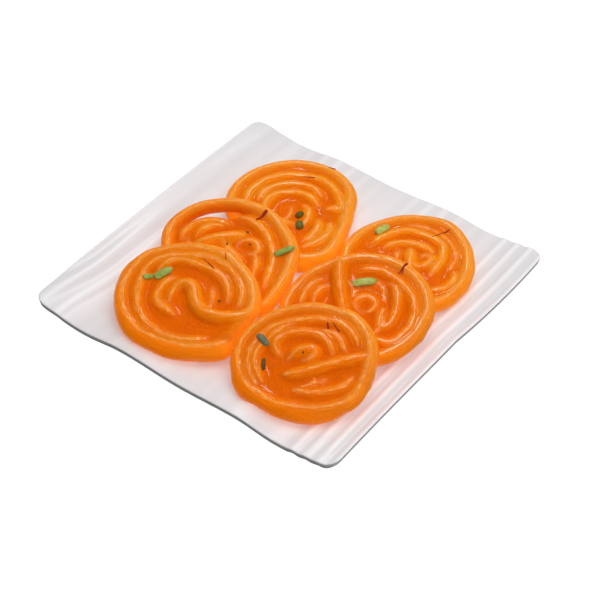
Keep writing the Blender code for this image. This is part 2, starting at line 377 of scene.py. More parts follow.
def makePlateMesh():
    half, corner, count = plate["side"] / 2, plate["corner"], plate["around"]
    thick, slope, bend = plate["thickness"], plate["edgeSlope"], plate["edgeRound"]
    foot, draft = plate["footSide"] / 2, plate["footDraft"]
    gridAbove, gridBelow = plate["grid"]
    # tones: the painted light and shade of the ribs, at every point
    loops, tones = [], []       # from the middle of the top, round the edge, to the middle of the foot

    def level(inset, drop, cornerHere=None):
        outline = roundedSquare(half - inset, corner - inset if cornerHere is None else cornerHere, count)
        loops.append([(*handMade(x, y), plate["height"] + waveHeight(x, y) - drop) for x, y in outline])
        tones.extend(ribs(x, y)[1] for x, y in outline)

    inset = half - 1 * mm
    while inset > bend + 0.5 * mm:
        level(inset, 0.0)
        inset -= gridAbove
    for step in range(5):       # the rounded lip, top and bottom
        angle = math.radians(90 - 22.5 * step)
        level(bend - bend * math.cos(angle), bend - bend * math.sin(angle))
    for step in range(5):
        angle = math.radians(-22.5 * step)
        level(slope + bend - bend * math.cos(angle), thick - bend - bend * math.sin(angle))
    inset = slope + gridBelow
    while inset < half - foot - draft - 3 * mm:
        share = inset / (half - foot)
        level(inset, thick, max(corner - inset, plate["footCorner"] * share ** 2))
        inset += gridBelow
    level(half - foot - draft, thick, plate["footCorner"])
    for wide, z in [(foot + out, z) for out, z in plate["footEdge"]] + [(foot / 2, 0.0), (2 * mm, 0.0)]:
        loops.append([(x, y, z) for x, y in roundedSquare(wide, plate["footCorner"] * wide / foot, count)])
        tones.extend([0.5] * count)
    mesh = loftLoops("plateGlazed", loops)
    writeMark(mesh, "ribTone", tones)
    return mesh


def glazedPorcelain():
    # white porcelain under clear glaze, fired glossy: faint grey mottling and a slight orange peel in its
    # reflection, with a painted highlight whiter on the rib crests and painted shade greyer in the grooves
    material, tree, shader = newMaterial("glazed porcelain")
    place = addNode(tree, "ShaderNodeTexCoord").outputs["Object"]
    cloud = addNode(tree, "ShaderNodeTexNoise", Vector=place, Scale=1 / plate["mottle"], Detail=3.0)
    color = addNode(tree, "ShaderNodeValToRGB", {"stops": plate["glaze"]}, Fac=cloud)
    tone = addNode(tree, "ShaderNodeAttribute", {"attribute_name": "ribTone"}).outputs["Fac"]
    # painted highlight on the rib crests, painted shade in their grooves
    crestHighlight = addNode(tree, "ShaderNodeMapRange", Value=tone, From_Min=0.5, To_Max=0.75)
    pooled = addNode(tree, "ShaderNodeMapRange", Value=tone, From_Max=0.5, To_Min=0.1, To_Max=0.0)
    for share, glaze in ((crestHighlight, plate["ribCrestHighlight"]), (pooled, plate["ribGrooveShade"])):
        color = addNode(tree, "ShaderNodeMix", {"data_type": "RGBA"}, _0=share, _6=color, _7=hexColor(glaze))
        color = color.outputs[2]
    peel = addNode(tree, "ShaderNodeTexNoise", Vector=place, Scale=1 / plate["orangePeel"], Detail=2.0)
    bump = addNode(tree, "ShaderNodeBump", Strength=0.06, Distance=0.4 * mm, Height=peel)
    setInputs(tree, shader, Base_Color=color, Normal=bump, Roughness=0.35, IOR=1.5, Coat_Weight=0.4,
              Coat_Roughness=0.18)
    return material


batter = {
    "strandWidth": 10.6 * mm,
    "strandHeight": 9.9 * mm,
    "step": 1.2 * mm,           # between the rings of a strand
    "wander": (1.5 * mm, 1000 / 45 * mm),       # of a strand's line: size of its bends, 45 to the metre
    "endLength": 9 * mm,        # over which a strand's end sinks into the web
    "endSink": 2.5 * mm,
    "bandDrop": 1.9 * mm,       # how much lower than a strand a band lies beside the outer one
    "footDrop": 0.7425 * mm,    # and batter that spread out round the base
    "web": ((0.97, 8.0 * mm), (0.86, 7.8 * mm), (0.76, 7.2 * mm), (0.5, 6.9 * mm), (0.2, 7.0 * mm)),
    "webUnder": (0.94, 0.6 * mm),       # share of the outline and height, as for each step of the web
    "voxel": 0.65 * mm,         # of the grid that fuses strands and web
    "smoothing": 50,
    "crestHeight": 9.0 * mm,
    "crestWidth": 2.2 * mm,     # of the painted highlight along the top of a strand
    "heightShare": 0.4,         # how much a height counts beside a width in the distance to a crest
    "crestWall": (0.0, 2.5 * mm),       # beyond the outer strand's line: from here, over this length; the wall there is spared the painted shade
    "outerWall": (-0.5 * mm, 3.5 * mm),
    "litWallBand": (-6 * mm, 7 * mm),
    "lightFrom": 75,            # degrees, where the light comes from; the outer strand is painted paler on that side
    "streak": (1.05 * mm, 9.1 * mm),        # width and length; real ones are finer, and wouldn't show
    "streakShift": 77,          # lengths between the streaks of one strand and of the next
    "dashes": 1.7,              # painted glints, broken into dashes, to a streak
    "patch": 16.7 * mm,         # of deeper and paler colour
    "glintPatch": 11.1 * mm,    # of wetter syrup
    "bubble": 3.85 * mm,
    "grain": 1.43 * mm,         # specks
    "pit": 1 * mm,              # finer in a real one, where it wouldn't show
    "colors": ((0.0, "#dc5c00"), (0.3, "#e06600"), (0.65, "#e47000"), (1.0, "#e88810")),        # painted shade: deep in the grooves to pale on the tops
    # painted light: the outer wall's colour on the side the light comes from
    "paintedLitWallColor": "#efa036",
    # colours of the painted highlight along the crests and of the painted glints
    "paintedHighlightColor": "#f9ad58",
    "paintedGlintColor": "#fec684",
    "throughColor": "#ff8600",      # painted glow, standing in for light that has passed through the strands
}


def turnPoints(start, step, radii):
    # one point for every radius, turning by a step of degrees
    turns = [math.radians(start + step * i) for i in range(len(radii))]
    return [(r * math.cos(turn), r * math.sin(turn)) for r, turn in zip(radii, turns)]


def joinEnds(points):
    # the first two points again, so that a ring overlaps itself where it closes
    return points + points[:2]


def ringPoints(radii):
    return joinEnds(turnPoints(0, 360 / len(radii), radii))


def arcPoints(cx, cy, firstRadius, lastRadius, firstAngle, lastAngle):
    count = max(3, round(abs(lastAngle - firstAngle) / 25))
    points = []
    for i in range(count + 1):
        t = i / count
        radius = firstRadius + (lastRadius - firstRadius) * t
        angle = math.radians(firstAngle + (lastAngle - firstAngle) * t)
        points.append((cx + radius * math.cos(angle), cy + radius * math.sin(angle)))
    return points


def sunk(depth, points):
    # a strand that settled into the ones beside it
    return [(x, y, z - depth) for x, y, z in ((*p, 0.0)[:3] for p in points)]


# each jalebi is piped in millimetres about its own middle: the first strand, or the rim, is its outline,
# bands lie low beside the outer strand, feet spread out round the base, and a third number lifts a point
jalebis = {
    "jalebi_back_left": {
        "middle": (-37, 49), "lift": 2.5, "tilt": 0, "tone": 0.12, "seed": 1,
        "strands": [
            ringPoints((41, 37.5, 43.5, 47.8, 48.2, 45.8, 44, 41.3, 38, 41, 48.8, 52.8)),
            turnPoints(-145, -30, (32.5, 33, 34, 35, 36, 35, 33.5)) + [(24, 16), (18, 11)],
            arcPoints(1, 3.5, 27, 20.5, -148, -300),
            arcPoints(-0.5, -3.5, 15.5, 21.5, -134, -318),
            arcPoints(-4, -9.5, 19, 22, 67, -11),
            sunk(1.5, arcPoints(-13.5, -17.5, 23.5, 16, 61, 3)),
            arcPoints(6, -25.5, 32, 19.5, 61, -3),
            arcPoints(10.5, -14, 27, 24.5, 44, -41),
            turnPoints(215, 30, (30, 28, 27, 30)),
            turnPoints(240, 40, (18, 17, 18)),
        ],
        "bands": [turnPoints(-150, -30, (38, 41, 42, 43, 42, 41, 36))],
        "feet": [sunk(0.5, turnPoints(266, 13, (38, 46, 51, 54, 54.5, 50.5, 44)))]},
    "jalebi_back_right": {
        "middle": (57, 53), "lift": 3.1, "tilt": 0, "tone": 0.05, "seed": 2,
        "strands": [
            ringPoints((39.8, 38.5, 40.5, 44.4, 41.5, 40, 40.5, 42.5, 44, 43.5, 44.5, 43.6)),
            turnPoints(-170, -30, (30, 27.5, 28, 26.5, 26.5, 22, 19, 21)),
            sunk(0.9, arcPoints(11, -2, 44.5, 15, 138, 20)),
            arcPoints(-4.5, -11.5, 17.5, 30.5, 153, 59),
            [(-6, 10, 0.5), (1, -1, 1.5), (8, -13, 0.5)],
            arcPoints(5.5, 7, 11.5, 1, -92, 114),
            arcPoints(20.5, 1.5, 9.5, 21.5, 43, -79),
            arcPoints(-34.5, -12, 27.5, 28, 34, 9),
            turnPoints(200, 30, (31, 32, 33, 33, 32)),
            turnPoints(230, 40, (18, 18, 20)),
        ],
        "bands": [turnPoints(175, -30, (36.5, 35, 34.5, 36, 35, 34, 36))]},
    "jalebi_middle_left": {
        "middle": (-40, -16), "lift": 7.8, "tilt": 9.1, "tone": -0.05, "seed": 3,
        "web": (43, 42, 39, 37, 31, 28, 38, 36, 31, 30, 35, 48),
        "strands": [
            ringPoints((45, 42.5, 39.5, 41, 43.5, 46.3, 46.5, 40, 33.5, 32, 38.5, 53)),
            arcPoints(-21.5, -9, 30.5, 9.5, 70, 182),
            arcPoints(-14, -4, 21, 11, 89, 179),
            [(2, 18, 1.5), (-13, 1, 4), (-22, -10, 1.5)],
            arcPoints(-23.5, -7, 37.9, 64, 74, -7),
            arcPoints(12, 7.5, 10.5, 1, 175, -99),
            arcPoints(-1, -18.5, 31.5, 29.5, 61, 15),
            [(-11, 7), (2, 0), (16, -3)],
            turnPoints(190, 30, (30, 26, 23, 22, 26, 36)),
            turnPoints(200, 40, (18, 14, 13, 20)),
        ],
        "bands": [turnPoints(110, -25, (37.5, 37.5, 36.5, 35.7, 36.5, 38, 39.1, 37.8))]},
    "jalebi_middle_right": {
        "middle": (60.4, -9.5), "lift": 9.9, "tilt": 8, "tone": -0.3, "seed": 4,
        "strands": [
            ringPoints((42.2, 43.5, 43, 42.7, 41.8, 41, 43, 46.5, 47.5, 46.5, 43.5, 42.5)),
            turnPoints(130, -30, (31.5, 32.5, 32.5, 35, 36.5, 37)) + [(27, -17), (18, -18)],
            [(3, 27.5), (12, 24), (19, 15.5), (23.5, 6), (25, -3), (21, -7), (16.5, 0), (13.5, 9)],
            arcPoints(10, -14.5, 16.5, 8.5, 60, -14),
            arcPoints(3, 3.5, 6.5, 6, -95, -438),
            [(-33, 26, 2), (-23, 11, 3.5), (-11, -3, 2.5), (0, -13)],
            arcPoints(-9.5, 9, 22.5, 37, -179, -128),
            arcPoints(-4.5, 1.5, 23, 27.5, 173, 218),
            sunk(2.0, arcPoints(-3, 11.5, 10.5, 12.5, 121, 7)),
            sunk(1.5, arcPoints(-22.5, -5.5, 20, 18.5, 75, 38)),
            turnPoints(215, 30, (34, 35, 36, 37)),
            turnPoints(220, 35, (20, 18, 18, 20)),
        ]},
    "jalebi_front_left": {
        "middle": (-36.8, -65.2), "lift": 9.6, "tilt": 9.3, "tone": -0.15, "seed": 5,
        "rim": (48, 44.5, 40, 38, 38, 40.5, 41, 41.2, 40.4, 40.6, 42.8, 50),
        "strands": [
            [(48.6, -16.8), (46.5, -20.5), (42.5, -26), (32.3, -33.3), (20, -37.9), (8.1, -40), (-3.4, -40.9),
             (-14, -38), (-25.9, -31), (-36.2, -19.5), (-40.6, -3.9), (-40.5, 9.6), (-35.3, 18.9),
             (-23.1, 29.9), (-11, 35.7), (1, 38.1), (16.7, 35.4), (29.1, 29.8), (38.1, 22.3), (43.9, 14.6),
             (45.3, 7.8), (42, 2.2, 0.5), (33.5, -4.2, 2), (25.3, -7.4, 3), (16.5, -6.5, 3), (9.5, -1.1, 3),
             (4, 4.2, 2.5), (-1.3, 5.7, 2), (-6, 3, 1), (-6, -5), (-2, -14)],
            [(37.6, -21.3), (29, -29.1), (17.1, -34.3), (3.9, -34.7), (-7.6, -32.4), (-20, -24),
             (-26.6, -15.1), (-30.1, -7.4), (-33.2, 0.7), (-32.2, 9.8), (-25.6, 19), (-12.5, 27.1),
             (-1.9, 31.2), (12.1, 30.8), (21.8, 26.9), (31.4, 19.7), (36, 12), (37, 5)],
            [(-25.8, 2), (-24.3, 13.9), (-17.7, 19.7), (-6.2, 22.6), (5.6, 23.3), (17.2, 20.7),
             (25.8, 13), (29.9, 5.8)],
            [(-12.9, 8.4), (-15, -2.8), (-12.1, -14.1), (-4.5, -17.5), (4.3, -18.4), (8.8, -17.2)],
            [(13, 12), (18, 6), (23, -2)],
        ],
        "bands": [[(44, -12), (40, -19), (32, -26), (21, -31)]],
        "feet": [
            sunk(0.7, [(46, -17), (48.3, -23), (44, -28.2), (33.4, -34.7), (21.4, -40.2), (8.2, -41.8),
                       (-3.8, -42.3), (-14.4, -39.8), (-26.4, -31.6), (-37, -19.8), (-43.2, -4.5),
                       (-41.5, 7.6), (-36, 15)]),
            [(46, -20), (46, -10), (46, 0), (44.5, 8)],
        ]},
    "jalebi_front_right": {
        "middle": (60.6, -66.9), "lift": 11.1, "tilt": 12, "tone": -0.3, "seed": 6,
        "rim": (43.7, 40.8, 40.2, 39, 38, 39, 40.6, 42, 40.4, 38.5, 38, 43.1),
        "strands": [
            joinEnds([(41, 1.8), (37.8, 12), (33, 22.8), (27.5, 29.8), (20.8, 34.8), (8.7, 39.5),
                      (-4.1, 37.8), (-16.8, 34), (-28.9, 23.7), (-36.6, 12.9), (-40.6, 0.6), (-40.7, -11.5),
                      (-35.2, -23.1), (-29, -29.7), (-18.2, -36.2), (-9.2, -38), (3.9, -38.5), (16.9, -34),
                      (28, -28.6), (39.1, -18.2), (42.5, -9)]),
            [(25.3, 21.1), (20.8, 25.8), (11.2, 30.5), (0.7, 30.9), (-9, 27.5), (-18.6, 20.5), (-27, 12),
             (-32, 2), (-33, -8), (-30.2, -18.6), (-24.9, -25.7), (-19.8, -29.9), (-11.3, -33.4)],
            [(-18.6, 18.5), (-24.5, 9.5), (-27, -1), (-28, -12), (-22.8, -21.5), (-15.8, -27.5), (-9, -30)],
            [(14.8, 7.4), (13.5, 11), (6.5, 15.6), (-2.6, 17.6), (-12.6, 13.8), (-19.5, 7.3), (-21.9, -0.1),
             (-18.5, -5.5), (-11.6, -8.8)],
            sunk(0.7, [(-3.8, 22.9), (9.6, 22), (18.2, 16.9), (21.3, 14.3)]),
            [(-8, -8), (-6.1, -1.5, 1.5), (-2.4, 3.6, 1.5), (1.8, 5.6, 1.5), (4.6, 2.8, 1.2), (3.6, -1.6, 1),
             (0.2, -4, 0.6)],
            [(34.5, 22.5), (27, 13.6, 0.8), (18, 3.6, 1), (9.5, -7.4, 1.2), (1, -15.6, 1),
             (-4.8, -18.6, 0.4)],
            [(6, -24.2), (16.9, -21.9), (25.6, -16.6), (33, -7.7), (34.6, 0.5), (33.4, 4.1)],
            sunk(0.5, [(11.4, -19.5), (16.9, -13.2), (20.7, -8)]),
        ],
        "feet": [sunk(1.2, [(-35, -20), (-29.6, -30.7), (-19.4, -38.2), (-9.4, -38), (4, -39), (18, -36.4),
                            (29.8, -30.4), (37.2, -20.8), (38.5, -10)])]},
}


def smoothPath(points, step):
    # a curve in metres through points in millimetres, as points about a step apart
    knots = [Vector((*p, 0.0)[:3]) * mm for p in points]
    knots = [2 * knots[0] - knots[1]] + knots + [2 * knots[-1] - knots[-2]]
    path = []
    for a, b, c, d in zip(knots, knots[1:], knots[2:], knots[3:]):
        count = max(1, round((c - b).length / step))
        for i in range(count):
            t = i / count
            path.append(0.5 * (2 * b + (c - a) * t + (2 * a - 5 * b + 4 * c - d) * t * t
                               + (3 * b - a - 3 * c + d) * t ** 3))
    path.append(knots[-2])
    return path


def makeStrandCurve(design):
    # the middle lines of all strands of one jalebi, as one curve object
    data = bpy.data.curves.new("strandLines", "CURVE")
    data.dimensions = "3D"
    for kind, drop in (("strands", 0.0), ("bands", batter["bandDrop"]), ("feet", batter["footDrop"])):
        for strand in design.get(kind, []):
            path = smoothPath(strand, 2.5 * mm)
            spline = data.splines.new("POLY")
            spline.points.add(len(path) - 1)
            for point, place in zip(spline.points, path):
                point.co = (place.x, place.y, place.z - drop + batter["strandHeight"] / 2, 1.0)
    return addObject("strandLines", data)


def rimPoints(design):
    return ringPoints(design["rim"]) if "rim" in design else design["strands"][0]


def makeWeb(design):
    # thin batter that ran together between the strands: a shallow dish, highest beside the outer strand
    edge = smoothPath(ringPoints(design["web"]) if "web" in design else rimPoints(design), 3 * mm)[:-1]
    levels = (batter["webUnder"],) + batter["web"]
    loops = [[(p.x * share, p.y * share, height) for p in edge] for share, height in levels]
    return addObject("web", loftLoops("web", loops))


def makeStrandTree(material):
    # Geometry Nodes: pipes a strand of batter along every line, which wanders a little and sinks at its ends,
    # and adds the web between the strands
    wander, spacing = batter["wander"]
    tree, given, sockets = startTree("pipedStrands", {
        "Width": ("Float", batter["strandWidth"]), "Height": ("Float", batter["strandHeight"]),
        "Step": ("Float", batter["step"]), "Wander": ("Float", wander), "Seed": ("Float", 0.0),
        "End length": ("Float", batter["endLength"]), "End sink": ("Float", batter["endSink"]),
        "Web": ("Object", None)})
    lines = addNode(tree, "GeometryNodeResampleCurve", {"mode": "LENGTH"}, Curve=given["Geometry"],
                    Length=given["Step"])
    level = addNode(tree, "GeometryNodeSetCurveNormal", {"mode": "Z_UP"}, Curve=lines)
    aside = addShake(tree, given["Seed"], given["Wander"], spacing)
    total = addNode(tree, "GeometryNodeSplineLength")
    along = addNode(tree, "GeometryNodeSplineParameter").outputs["Length"]
    left = addNode(tree, "ShaderNodeMath", {"operation": "SUBTRACT"}, _0=total, _1=along)
    fromEnd = addNode(tree, "ShaderNodeMath", {"operation": "MINIMUM"}, _0=along, _1=left)
    risen = addNode(tree, "ShaderNodeMapRange", {"interpolation_type": "SMOOTHSTEP"}, Value=fromEnd,
                    From_Max=given["End length"])
    height = addNode(tree, "ShaderNodeMath", {"operation": "MULTIPLY"}, _0=risen, _1=given["End sink"])
    drop = addNode(tree, "ShaderNodeMath", {"operation": "SUBTRACT"}, _0=height, _1=given["End sink"])
    down = addNode(tree, "ShaderNodeCombineXYZ", Z=drop)
    shift = addNode(tree, "ShaderNodeVectorMath", {"operation": "ADD"}, _0=aside, _1=down)
    moved = addNode(tree, "GeometryNodeSetPosition", Geometry=level, Offset=shift)
    circle = addNode(tree, "GeometryNodeCurvePrimitiveCircle", Resolution=20, Radius=0.5)
    both = addNode(tree, "ShaderNodeCombineXYZ", X=given["Width"], Y=given["Height"], Z=1.0)
    section = addNode(tree, "GeometryNodeTransform", Geometry=circle, Scale=both)
    tube = addNode(tree, "GeometryNodeCurveToMesh", Curve=moved, Profile_Curve=section, Fill_Caps=True)
    web = addNode(tree, "GeometryNodeObjectInfo", Object=given["Web"])
    joined = addNode(tree, "GeometryNodeJoinGeometry", Geometry=tube)
    setInputs(tree, joined, Geometry=web.outputs["Geometry"])
    endTree(tree, joined, material)
    return tree, sockets


def pipeJalebi(name, design, tree, sockets, material):
    web, seed = makeWeb(design), float(design["seed"])
    piped = runTree(tree, makeStrandCurve(design), {sockets["Seed"]: seed, sockets["Web"]: web})
    draft = addObject("draft", piped)
    fuse = draft.modifiers.new("fuse", "REMESH")
    fuse.mode = "VOXEL"
    fuse.voxel_size = batter["voxel"]
    soften = draft.modifiers.new("soften", "SMOOTH")
    soften.factor = 0.5
    soften.iterations = batter["smoothing"]
    mesh = bpy.data.meshes.new_from_object(draft.evaluated_get(bpy.context.evaluated_depsgraph_get()))
    for old in (draft, web):
        bpy.data.objects.remove(old)
    markStrands(mesh, design)
    x, y = design["middle"]
    place = Matrix.Translation((x * mm, y * mm, plate["height"] + design["lift"] * mm))
    mesh.transform(place @ Euler((math.radians(design["tilt"]), 0, 0)).to_matrix().to_4x4())
    return finishPiece(mesh, name.replace("jalebi", "sweet"), material, [name])


def markStrands(mesh, design):
    # numbers on every point for the material: how near it is to a crest, its place along and across the
    # strand, and whether it is on the outer wall and on the side that the light falls on, where it is painted
    # paler
    places = np.empty(len(mesh.vertices) * 3, np.float32)
    mesh.vertices.foreach_get("co", places)
    places = places.reshape(-1, 3)
    around = np.arctan2(places[:, 1], places[:, 0])
    rim = np.array([(p.x, p.y) for p in smoothPath(rimPoints(design), 3 * mm)])
    angles = np.arctan2(rim[:, 1], rim[:, 0])
    order = np.argsort(angles)
    reach = np.interp(around, angles[order], np.hypot(rim[:, 0], rim[:, 1])[order], period=2 * math.pi)
    beyond = np.hypot(places[:, 0], places[:, 1]) - reach

    def rise(key):
        start, length = batter[key]
        return np.clip((beyond - start) / length, 0, 1)

    tops, slopes, lengths = [], [], []      # along the top of each strand, short of its sunken ends
    squash = (1, 1, batter["heightShare"])
    for number, strand in enumerate(design["strands"]):
        path = np.array(smoothPath(strand, 0.5 * mm))
        run = np.cumsum(np.linalg.norm(np.diff(path, axis=0, prepend=path[:1]), axis=1))
        closed = np.linalg.norm(path[0] - path[-1]) < 20 * mm
        kept = slice(None) if closed else slice(6, -6)
        tops.append((path + (0, 0, batter["crestHeight"]))[kept] * squash)
        slopes.append(np.gradient(path, axis=0)[kept, :2])
        lengths.append(run[kept] + number * batter["streakShift"] * batter["streak"][1])
    tops, slopes, lengths = np.concatenate(tops), np.concatenate(slopes), np.concatenate(lengths)
    tree = KDTree(len(tops))
    for i, top in enumerate(tops):
        tree.insert(top, i)
    tree.balance()
    found = [tree.find(place)[1:] for place in places * squash]
    nearest, near = np.array([f[0] for f in found]), np.array([f[1] for f in found])
    offset, slope = places[:, :2] - tops[nearest, :2], slopes[nearest]
    side = np.sign(slope[:, 0] * offset[:, 1] - slope[:, 1] * offset[:, 0])
    # painted light: the outer wall is painted paler towards the light
    lit = np.clip(0.55 + 0.5 * np.cos(around - math.radians(batter["lightFrom"])), 0, 1)
    marks = {
        "crest": np.maximum(places[:, 2] / batter["crestHeight"], rise("crestWall")),       # 0 in the grooves, where the painted shade is deepest
        "ridge": np.exp(-(near / batter["crestWidth"]) ** 2),       # 1 along the very top of a strand
        "across": near * side,
        "along": lengths[nearest],
        "tone": np.full(len(near), design["tone"]),
        "outer": rise("outerWall"),
        "glow": rise("litWallBand") * lit,
    }
    for label, values in marks.items():
        writeMark(mesh, label, values)


def friedBatterInSyrup():
    # fermented batter fried crisp and soaked in sugar syrup: translucent orange with painted shade deeper in
    # the grooves, painted highlights and glints along the crests, painted light and a painted glow on the
    # outer wall, fine streaks along every strand and a wet coat whose reflection they break
    material, tree, shader = newMaterial("fried batter in syrup")
    multiply, multiplyAdd = {"operation": "MULTIPLY"}, {"operation": "MULTIPLY_ADD"}
    maximum, mix = {"operation": "MAXIMUM"}, {"data_type": "RGBA"}
    place = addNode(tree, "ShaderNodeTexCoord").outputs["Object"]
    crest, ridge, across, along, tone, outer, glow = (
        addNode(tree, "ShaderNodeAttribute", {"attribute_name": label}).outputs["Fac"]
        for label in ("crest", "ridge", "across", "along", "tone", "outer", "glow"))
    patterns = (("glintPatch", 2.0), ("bubble", 3.0), ("pit", 1.0), ("grain", 2.0), ("patch", 3.0))
    broken, bubbles, pits, grain, patch = (
        addNode(tree, "ShaderNodeTexNoise", Vector=place, Scale=1 / batter[size], Detail=detail)
        for size, detail in patterns)

    # streaks and the dashes of painted glint run along each strand
    width, length = batter["streak"]
    runX = addNode(tree, "ShaderNodeMath", multiply, _0=across, _1=1 / width)
    runY = addNode(tree, "ShaderNodeMath", multiply, _0=along, _1=1 / length)
    run = addNode(tree, "ShaderNodeCombineXYZ", X=runX, Y=runY)
    streak = addNode(tree, "ShaderNodeTexNoise", Vector=run, Scale=1.0, Detail=2.0)
    dash = addNode(tree, "ShaderNodeTexNoise", Vector=run, Scale=batter["dashes"], Detail=1.0)

    ranges = {      # each value from its low and high to the ones that the material needs
        "depth": (crest, 0.8, 1.07, -0.35, 0.65),       # painted shade, from the grooves up
        "line": (broken, 0.35, 0.6, 0.4, 0.85),         # how bright the painted highlight along a crest is
        # painted highlight along the streaks near a crest, and painted glints in the dashes
        "fineLine": (streak, 0.5, 0.64, 0.0, 0.65),
        "dash": (dash, 0.56, 0.62, 0.0, 0.65),
        "top": (ridge, 0.6, 0.92, 0.0, 1.0),
        "shade": (grain, 0.3, 0.7, 0.94, 1.05),
        "pitted": (broken, 0.4, 0.6, 0.3, 1.3),
        "through": (outer, 0.0, 1.0, 0.13, 0.31),       # painted glow in the outer wall, for light from within
        "unlit": (glow, 0.0, 1.0, 1.0, 0.5),            # the painted glow is weaker on the side the light falls on
        "syrup": (ridge, 0.3, 0.9, 0.1, 0.6),           # thicker on the crests
        "pooled": (broken, 0.48, 0.58, 0.1, 0.6),       # and in patches
        "gloss": (ridge, 0.3, 0.9, 0.08, 0.36),
    }
    ranged = {}
    for name, (value, low, high, first, last) in ranges.items():
        ranged[name] = addNode(tree, "ShaderNodeMapRange", Value=value, From_Min=low, From_Max=high,
                               To_Min=first, To_Max=last)

    # colour: painted shade by height, then patch and streak; then painted light on the lit wall,
    # painted highlights along the crests and painted glints in the dashes
    # painted shade: the colour is deeper the lower it lies in the grooves
    level = addNode(tree, "ShaderNodeMath", {"operation": "ADD"}, _0=ranged["depth"], _1=tone)
    level = addNode(tree, "ShaderNodeMath", multiplyAdd, _0=patch, _1=0.3, _2=level)
    level = addNode(tree, "ShaderNodeMath", multiplyAdd, _0=streak, _1=0.4, _2=level)
    color = addNode(tree, "ShaderNodeValToRGB", {"stops": batter["colors"]}, Fac=level)
    # painted light: paler on the outer wall's lit side
    paintedLitWall = addNode(tree, "ShaderNodeMath", multiply, _0=glow, _1=0.55)
    # painted highlight: a thin line along each crest, and along the streaks near it
    crestHighlight = addNode(tree, "ShaderNodeMath", {"operation": "POWER"}, _0=ridge, _1=11.0)
    crestHighlight = addNode(tree, "ShaderNodeMath", multiply, _0=crestHighlight, _1=ranged["line"])
    streakHighlight = addNode(tree, "ShaderNodeMath", multiply, _0=ridge, _1=ranged["fineLine"])
    paintedHighlight = addNode(tree, "ShaderNodeMath", maximum, _0=crestHighlight, _1=streakHighlight)
    # painted glint: broken dashes along the tops
    paintedGlint = addNode(tree, "ShaderNodeMath", multiply, _0=ranged["dash"], _1=ranged["top"])
    for share, name in ((paintedLitWall, "paintedLitWallColor"), (paintedHighlight, "paintedHighlightColor"), (paintedGlint, "paintedGlintColor")):
        color = addNode(tree, "ShaderNodeMix", mix, _0=share, _6=color, _7=hexColor(batter[name])).outputs[2]
    color = addNode(tree, "ShaderNodeHueSaturation", Color=color, Value=ranged["shade"])

    # relief: the bubbles and pits of frying, and the streaks
    relief = addNode(tree, "ShaderNodeMath", multiplyAdd, _0=pits, _1=ranged["pitted"], _2=bubbles)
    relief = addNode(tree, "ShaderNodeMath", multiplyAdd, _0=streak, _1=2.2, _2=relief)
    bump = addNode(tree, "ShaderNodeBump", Strength=0.6, Distance=0.6 * mm, Height=relief)

    wet = addNode(tree, "ShaderNodeMath", maximum, _0=ranged["syrup"], _1=ranged["pooled"])
    # painted glow: emission in the outer wall, weaker on the lit side
    through = addNode(tree, "ShaderNodeMath", multiply, _0=ranged["through"], _1=ranged["unlit"])
    setInputs(tree, shader, Base_Color=color, Normal=bump, Roughness=0.28, IOR=1.4, Subsurface_Weight=0.85,
              Subsurface_Radius=(1.0, 0.6, 0.05), Subsurface_Scale=4 * mm,
              Specular_IOR_Level=ranged["gloss"], Coat_Weight=wet, Coat_Roughness=0.06, Coat_IOR=1.47,
              Emission_Color=hexColor(batter["throughColor"]), Emission_Strength=through)
    return material


def makeJalebis():
    material = friedBatterInSyrup()
    tree, sockets = makeStrandTree(material)
    return [pipeJalebi(name, design, tree, sockets, material) for name, design in jalebis.items()]


pistachio = {
    "slivers": [        # middle x and y, heading in degrees, length, width and thickness, green 0 to 1
        (26.4, 65.0, 78, 13.8, 6.6, 3.8, 1.0),
        (51.4, 7.0, 42, 18.0, 7.4, 3.6, 0.88),
        (-6.9, -0.2, 58, 16.6, 5.6, 3.4, 0.68),
        (-58.2, -62.4, 69, 15.4, 7.0, 3.4, 0.76),
        (-64.4, -70.4, 66, 8.6, 4.4, 2.2, 0.7),
        (31.6, -74.0, -17, 12.0, 5.4, 3.4, 0.3),
        (42.0, -87.0, -56, 10.5, 3.0, 2.0, 0.03),
        (-27.6, 45.4, 80, 7.0, 5.2, 3.4, 0.1),
        (-21.4, 37.0, -49, 8.4, 6.4, 3.6, 0.15),
        (-39.1, 2.4, 30, 2.6, 1.8, 1.2, 0.1),
        (-43.0, -14.1, 100, 2.0, 1.4, 1.0, 0.1),
        (-13.0, -61.2, 60, 2.2, 1.6, 1.0, 0.1),
        (-30.6, -5.7, 0, 2.0, 1.4, 1.0, 0.1),
        (59.2, -68.9, 120, 2.0, 1.2, 1.0, 0.05),
    ],
    "sunk": 0.12,           # share of the thickness pressed into the syrup
    "uneven": (0.9 * mm, 1000 / 260 * mm),      # size of its bumps, 260 to the metre
    "flatBelow": -0.25,     # where the knife cut: share of the thickness, the length and the width
    "bluntEnd": -0.38,
    "flatSide": 0.4,
    "seed": 4.0,
    "grain": 2.86 * mm,
    "greens": ((0.0, "#5c4010"), (0.15, "#66641c"), (0.3, "#74795e"), (0.45, "#7e8c40"), (0.7, "#94a848"),
               (1.0, "#c0c262")),
    "skin": "#4c3414",
}


def dropOn(sweets, x, y):
    # where something let fall at x and y lands on the jalebis
    above = 0.2
    hits = [sweet.ray_cast((x, y, above), (0, 0, -1)) for sweet in sweets]
    hits = [(place, normal) for hit, place, normal, _ in hits if hit]
    return max(hits, key=lambda hit: hit[0].z)


